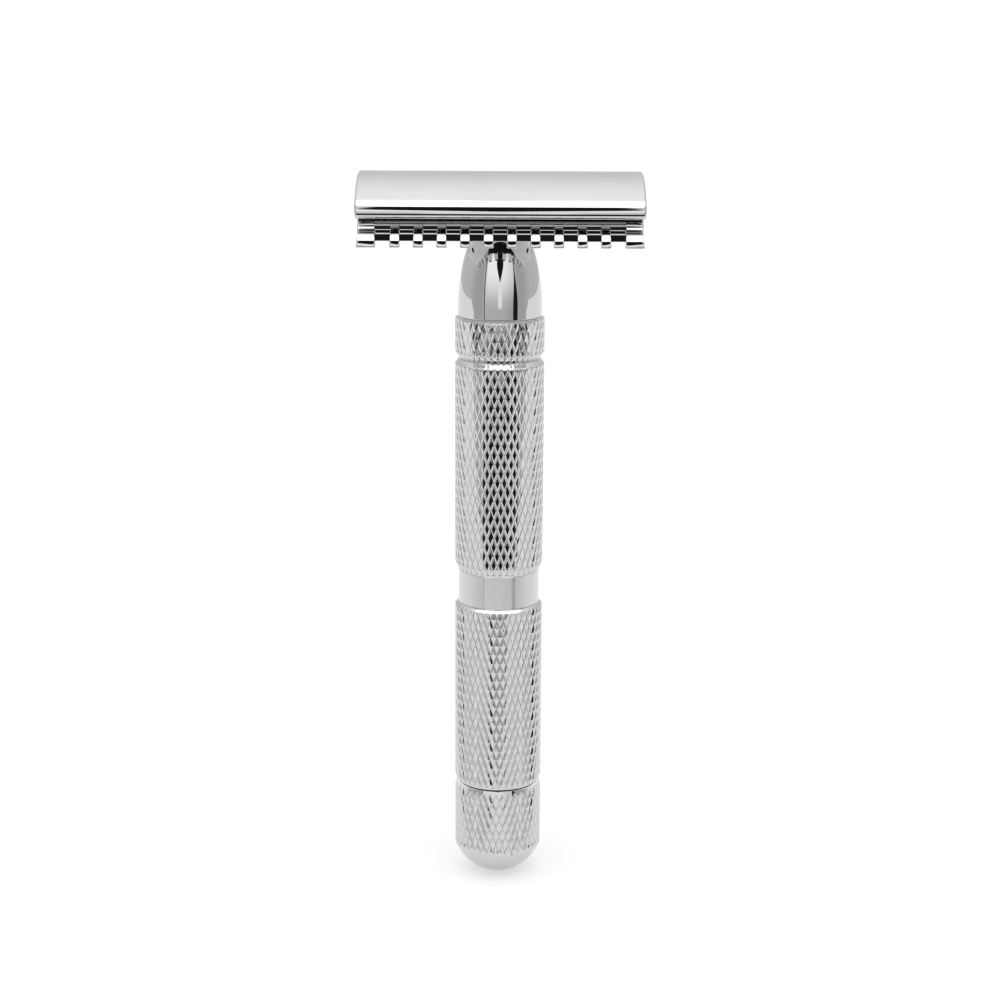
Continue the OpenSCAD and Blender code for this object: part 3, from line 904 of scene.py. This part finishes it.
def wave_spring():
    """A wave spring wound from flat strip, its turns touching crest to crest."""
    name = "wave_spring"
    low, high = heights(name)
    outer_radius = half_size(name, 0)
    strip_width = 0.95
    inner_radius = outer_radius - strip_width
    turns = 3
    waves = 3.5
    strip = 0.16
    amplitude = (high - low - strip) / turns / 2
    steps = 360
    vertices = []
    faces = []
    for step in range(steps + 1):
        angle = TURN * turns * step / steps
        start = low + strip / 2 + amplitude
        travel = (high - low - strip - 2 * amplitude) * step / steps
        height = start + travel + amplitude * math.sin(waves * angle)
        for radius, offset in ((inner_radius, -1), (outer_radius, -1), (outer_radius, 1), (inner_radius, 1)):
            x = radius * math.cos(angle)
            y = radius * math.sin(angle)
            vertices.append((x, y, height + offset * strip / 2))
    for step in range(steps):
        for side in range(4):
            a = 4 * step + side
            b = 4 * step + (side + 1) % 4
            faces.append((a, b, b + 4, a + 4))
    faces.append((0, 1, 2, 3))
    faces.append((4 * steps + 3, 4 * steps + 2, 4 * steps + 1, 4 * steps))
    return finish_piece(build_object(name, vertices, faces), name)


def retaining_ring():
    """An open E-shaped ring with three inner lugs."""
    name = "retaining_ring"
    low, high = heights(name)
    outer_radius = half_size(name, 1)
    half_opening = 1.2
    lug_length = 0.75
    opening = math.asin(half_opening / outer_radius)
    section_edge = 0.06
    steps = 60
    outside = arc(0, 0, outer_radius, opening, TURN - opening, steps)
    inside = []
    for step in range(steps + 1):
        angle = TURN - opening * 2 - (TURN - 4 * opening) * step / steps
        lug = max(0.0, math.cos(3 * (angle - math.pi))) ** 2
        radius = RING_GROOVE + lug_length * (1 - lug)
        inside.append((radius * math.cos(angle), radius * math.sin(angle)))
    outline = np.array(outside + inside)
    centre = outline.mean(axis=0)
    vertices = []
    for height, inset in ((low, 1), (low + section_edge, 0), (high - section_edge, 0), (high, 1)):
        shrink = 1 - inset * section_edge / outer_radius
        for x, y in outline:
            vertices.append((centre[0] + (x - centre[0]) * shrink, y * shrink, height))
    count = len(outline)
    faces = [tuple(range(count)), tuple(range(3 * count, 4 * count))]
    for level in range(3):
        for number in range(count):
            a = level * count + number
            b = level * count + (number + 1) % count
            faces.append((a, b, b + count, a + count))
    return finish_piece(build_object(name, vertices, faces), name)


def socket_pin():
    """A cross pin with rounded ends."""
    name = "socket_pin"
    low, high = heights(name)
    radius = (high - low) / 2
    half_length = half_size(name, 0)
    outline = fillet([
        (0.0, -half_length, 0),
        (radius, -half_length, 0.2),
        (radius, half_length, 0.2),
        (0.0, half_length, 0),
    ])
    piece = lathe(name, outline, 32)
    piece.data.transform(Matrix.Rotation(math.pi / 2, 4, "Y"))
    piece.data.transform(Matrix.Translation((0, 0, (low + high) / 2 * MM)))
    return finish_piece(piece, name)


def locating_pins():
    """The two pins under the cap, with rounded noses."""
    name = "locating_pins"
    low, high = heights(name)
    radius = half_size(name, 1)
    offset = half_size(name, 0) - radius
    outline = fillet([
        (0.0, low, 0),
        (radius, low, 0.4),
        (radius, high, 0.05),
        (0.0, high, 0),
    ])
    pair = [lathe(name, outline, 64), lathe(name + "_other", outline, 64)]
    joined = bmesh.new()
    for side, pin in zip((-1, 1), pair):
        pin.data.transform(Matrix.Translation((side * offset * MM, 0, 0)))
        joined.from_mesh(pin.data)
    joined.to_mesh(pair[0].data)
    joined.free()
    bpy.data.objects.remove(pair[1])
    return finish_piece(pair[0], name)


cap_stud()
draw_socket()
lock_nut()
wave_spring()
retaining_ring()
socket_pin()
locating_pins()


# ---------------------------------------------------------------- head

def top_cap():
    """The curved cap with its rounded lips and the hollow that bends the blade."""
    crown_start = math.pi / 2 - CROWN_ANGLE
    right = arc(LIP_CENTRE, LIP_FRONT, LIP_RADIUS, 0, crown_start, 30)
    crown = arc(0, CAP_TOP - CROWN_RADIUS, CROWN_RADIUS, crown_start, math.pi - crown_start, 120)[1:-1]
    left = [(-y, z) for y, z in reversed(right)]
    edge_centre = CAP_HALF_WIDTH - LIP_EDGE_RADIUS
    rim_height = HOLLOW_CENTRE + math.sqrt(HOLLOW_RADIUS ** 2 - HOLLOW_HALF_WIDTH ** 2)
    rim_angle = math.atan2(rim_height - LIP_FRONT, HOLLOW_HALF_WIDTH - edge_centre)
    left_edge = arc(-edge_centre, LIP_FRONT, LIP_EDGE_RADIUS, math.pi, math.pi - rim_angle, 14)[1:]
    hollow_angle = math.acos(HOLLOW_HALF_WIDTH / HOLLOW_RADIUS)
    hollow = arc(0, HOLLOW_CENTRE, HOLLOW_RADIUS, math.pi - hollow_angle, hollow_angle, 90)[1:-1]
    right_edge = [(-y, z) for y, z in reversed(left_edge)]
    section = right + crown + left + left_edge + hollow + right_edge
    return finish_piece(extrude("top_cap", section, CAP_HALF_LENGTH, CAP_EDGE), "top_cap")


def tooth(width):
    """One tooth of the comb, centred on X 0, narrower towards its top."""
    foot_round = 0.2
    foot_width = 1.8
    side_round = 0.14
    foot_flare = 1.04
    taper = 0.12
    root = WALL_OFFSET - 0.6
    outline = [(root, COMB_FOOT), (COMB_HALF_WIDTH - foot_width, TOOTH_FOOT)]
    outline += arc(COMB_HALF_WIDTH - foot_round, NOSE_HEIGHT, foot_round, -math.pi / 2, 0, 8)
    outline += arc(NOSE_OFFSET, NOSE_HEIGHT, NOSE_RADIUS, 0, TROUGH_ANGLE, 30)[1:]
    outline += arc(TROUGH_OFFSET, TROUGH_HEIGHT, TROUGH_RADIUS, TROUGH_ANGLE - math.pi, -math.pi, 24)[1:]
    outline += [(root, TROUGH_HEIGHT)]
    piece = extrude("tooth", outline, width / 2, side_round)
    for vertex in piece.data.vertices:
        share = (vertex.co.z / MM - TOOTH_FOOT) / NOSE_RADIUS
        vertex.co.x *= foot_flare - taper * min(1, max(0, share))
    return piece


def comb_plate():
    """The open comb: a flat-bottomed plate with a row of teeth along each side."""
    foot_inset = 0.16
    bulge_rise = 1.15
    waist_rise = 1.75
    waist_inset = 0.14
    top_inset = 0.1
    end_round = 0.15
    pin_hole_radius = 1.58
    below = COMB_FOOT - 1
    shelf_edge = HOLLOW_CENTRE + math.sqrt(COMB_CROWN_RADIUS ** 2 - SHELF_OFFSET ** 2)
    crown_angle = math.acos(SHELF_OFFSET / COMB_CROWN_RADIUS) + 0.01
    lower = fillet([
        (0.0, COMB_FOOT, 0),
        (WALL_OFFSET - foot_inset, COMB_FOOT, 0.12),
        (WALL_OFFSET, COMB_FOOT + bulge_rise, 0.9),
        (WALL_OFFSET - waist_inset, COMB_FOOT + waist_rise, 0.5),
        (WALL_OFFSET - top_inset, WALL_TOP - 0.3, 0.25),
        (SHELF_OFFSET, shelf_edge, 0.1),
        (0.0, shelf_edge + 4, 0),
    ])[1:-1]
    right = [point for point in lower if point[1] < shelf_edge + 0.05]
    crown = arc(0, HOLLOW_CENTRE, COMB_CROWN_RADIUS, crown_angle, math.pi - crown_angle, 80)
    section = right + crown + [(-y, z) for y, z in reversed(right)]
    plate = extrude("comb_plate", section, COMB_HALF_LENGTH, end_round)
    first_place = -(NARROW_TEETH - 1) / 2 * TOOTH_PITCH
    places = [(first_place + number * TOOTH_PITCH, NARROW_TOOTH) for number in range(NARROW_TEETH)]
    places += [(end * (COMB_HALF_LENGTH - END_TOOTH / 2), END_TOOTH) for end in (-1, 1)]
    teeth = bmesh.new()
    for place, width in places:
        one = tooth(width)
        one.data.transform(Matrix.Translation((place * MM, 0, 0)))
        teeth.from_mesh(one.data)
        one.data.transform(Matrix.Rotation(math.pi, 4, "Z"))
        one.data.transform(Matrix.Translation((2 * place * MM, 0, 0)))
        teeth.from_mesh(one.data)
        bpy.data.objects.remove(one)
    teeth_mesh = bpy.data.meshes.new("teeth")
    teeth.to_mesh(teeth_mesh)
    teeth.free()
    teeth_object = bpy.data.objects.new("teeth", teeth_mesh)
    scene.collection.objects.link(teeth_object)
    combine(plate, teeth_object, "UNION")
    bore = [(0.0, below), (SPIGOT_RADIUS, below), (SPIGOT_RADIUS, NECK_TOP)]
    bore += [(STUD_BORE, NECK_TOP), (STUD_BORE, CAP_TOP), (0.0, CAP_TOP)]
    combine(plate, lathe("bore", bore, 96), "DIFFERENCE")
    pin_hole = [(0.0, below), (pin_hole_radius, below), (pin_hole_radius, CAP_TOP), (0.0, CAP_TOP)]
    pin_offset = half_size("locating_pins", 0) - half_size("locating_pins", 1)
    for side in (-1, 1):
        hole = lathe("hole", pin_hole, 64)
        hole.data.transform(Matrix.Translation((side * pin_offset * MM, 0, 0)))
        combine(plate, hole, "DIFFERENCE")
    plate.data.shade_smooth()
    plate.data.set_sharp_from_angle(angle=math.radians(SHARP_DEGREES))
    weighted = plate.modifiers.new("weighted", "WEIGHTED_NORMAL")
    weighted.keep_sharp = True
    return finish_piece(plate, "comb_plate")


top_cap()
comb_plate()

blade = frame["nodes"]["blade"]
blade.data.materials.clear()
blade.data.materials.append(MATERIALS["blade_steel"])


# ---------------------------------------------------------------- table, light and camera

def table():
    """A plain pale table whose front edge lies between the razor and the camera."""
    front = -154.0
    back = 1600.0
    half_width = 1600.0
    thickness = 20.0
    corner = 6.0
    outline = fillet([
        (front, KNOB_FOOT - thickness, corner),
        (back, KNOB_FOOT - thickness, corner),
        (back, KNOB_FOOT, corner),
        (front, KNOB_FOOT, corner),
    ], steps=5, guard=1.0)
    top = extrude("table", outline, half_width, 2.0)
    material, tree, shader = new_material("table_white")
    mottle = stretched_noise(tree, (30, 30, 30), detail=3.0)
    set_inputs(shader, {
        "Base Color": blend_colours(tree, mottle, grey(0.4), grey(0.43)),
        "Roughness": 0.9,
        "Emission Color": (1.0, 1.0, 1.0, 1.0),
        "Emission Strength": 0.51,
    })
    top.data.materials.append(material)


def studio_light():
    """A light tent as the world, which the camera itself sees as plain white.

    Azimuth 0 is straight to the front (-Y), and both angles are in degrees. The walls brighten upwards,
    a diffuser hangs over the front, and black cards and edges give the chrome its dark lines."""
    black = 0.01
    flank_level = 0.5
    diffuser_level = 2.3
    strip_level = 1.18
    seam_level = 0.02
    gap_level = 0.015
    world = bpy.data.worlds.new("light_tent")
    scene.world = world
    world.use_nodes = True
    tree = world.node_tree
    direction = add_node(tree, "TexCoord").outputs["Generated"]
    parts = add_node(tree, "SeparateXYZ", {0: direction})
    to_front = math_node(tree, "MULTIPLY", parts.outputs[1], -1.0)
    azimuth = math_node(tree, "ARCTAN2", parts.outputs[0], to_front)
    azimuth = math_node(tree, "DEGREES", azimuth)
    side = math_node(tree, "ABSOLUTE", azimuth)
    elevation = math_node(tree, "DEGREES", math_node(tree, "ARCSINE", parts.outputs[2]))

    def layer(below, mask, level):
        """The level where the mask is 1, over what is below it."""
        inputs = {"Factor": mask, 2: below, 3: level}
        return add_node(tree, "Mix", inputs, data_type="FLOAT").outputs[0]

    def both(first, second):
        """The product of two masks or levels."""
        return math_node(tree, "MULTIPLY", first, second)

    def upright(centre, half_width):
        """A mask for an upright dark line at that azimuth."""
        from_line = math_node(tree, "ABSOLUTE", math_node(tree, "SUBTRACT", azimuth, centre))
        line = ramp(tree, math_node(tree, "SUBTRACT", half_width, from_line), 0.0, 0.8)
        return both(line, ramp(tree, elevation, 40.0, 36.0))

    # The walls, with a darker flank on each side
    level = ramp(tree, elevation, 8.0, 84.0, 0.71, 1.34)
    flank = both(ramp(tree, side, 44.0, 50.0), ramp(tree, side, 100.0, 62.0))
    flank = both(flank, ramp(tree, elevation, 50.0, 35.0))
    level = layer(level, both(flank, 0.85), flank_level)

    # The front panel, brightest at about 20 degrees up and a little darker to the right
    panel = both(ramp(tree, side, 42.0, 38.0), ramp(tree, elevation, 44.0, 38.0))
    to_right = ramp(tree, azimuth, 2.0, 36.0, 1.0, 0.8)
    panel_level = both(ramp(tree, elevation, -9.0, 18.0, 0.66, 1.38), to_right)
    panel_level = both(panel_level, ramp(tree, elevation, 22.0, 34.0, 1.0, 0.72))
    level = layer(level, panel, panel_level)

    # The black edge above it, and the diffuser over the front half
    border = both(ramp(tree, side, 46.0, 43.0), ramp(tree, elevation, 36.5, 38.0))
    level = layer(level, border, black)
    diffuser = both(ramp(tree, elevation, 38.5, 41.5), ramp(tree, elevation, 92.0, 84.0))
    level = layer(level, both(diffuser, ramp(tree, side, 100.0, 80.0)), diffuser_level)

    # A bright strip straight ahead, and the black wedge above it
    strip_height = both(ramp(tree, elevation, -8.0, -5.0), ramp(tree, elevation, 14.0, 11.0))
    level = layer(level, both(ramp(tree, side, 6.0, 4.0), strip_height), strip_level)
    half_wedge = ramp(tree, elevation, 7.0, 22.0, 0.0, 11.0)
    wedge_side = math_node(tree, "SUBTRACT", half_wedge, side)
    wedge_height = both(ramp(tree, elevation, 9.0, 11.0), ramp(tree, elevation, 39.0, 37.5))
    level = layer(level, both(ramp(tree, wedge_side, 0.0, 1.0), wedge_height), black)

    # The dark seams at the panel's sides, and the gap under it
    level = layer(level, upright(-43.0, 1.6), seam_level)
    level = layer(level, upright(42.5, ramp(tree, elevation, 18.0, -6.0, 1.7, 7.0)), gap_level)
    gap = both(ramp(tree, side, 43.0, 41.0), ramp(tree, elevation, -9.2, -10.0))
    level = layer(level, gap, gap_level)

    seen = add_node(tree, "LightPath").outputs["Is Camera Ray"]
    level = layer(level, seen, 1.0)
    colour = add_node(tree, "CombineColor", {0: level, 1: level, 2: level}).outputs[0]
    set_inputs(tree.nodes["Background"], {"Color": colour, "Strength": 1.0})


def photo_camera():
    """A camera in front of the razor, looking down a little at the middle of its height."""
    distance = 326.0
    pitch = math.radians(14.0)
    roll = math.radians(0.27)
    aim_height = 45.85
    camera = bpy.data.cameras.new("camera")
    camera.lens = 73.76
    camera.sensor_width = 36.0
    camera.clip_start = 0.01
    camera.shift_x = 0.00095
    holder = bpy.data.objects.new("camera", camera)
    holder.location = (0, -distance * math.cos(pitch) * MM, (aim_height + distance * math.sin(pitch)) * MM)
    tilt = Euler((math.pi / 2 - pitch, 0, 0)).to_matrix()
    holder.rotation_euler = (tilt @ Matrix.Rotation(roll, 3, "Z")).to_euler()
    scene.collection.objects.link(holder)
    scene.camera = holder


table()
studio_light()
photo_camera()
scene.view_settings.view_transform = "Standard"
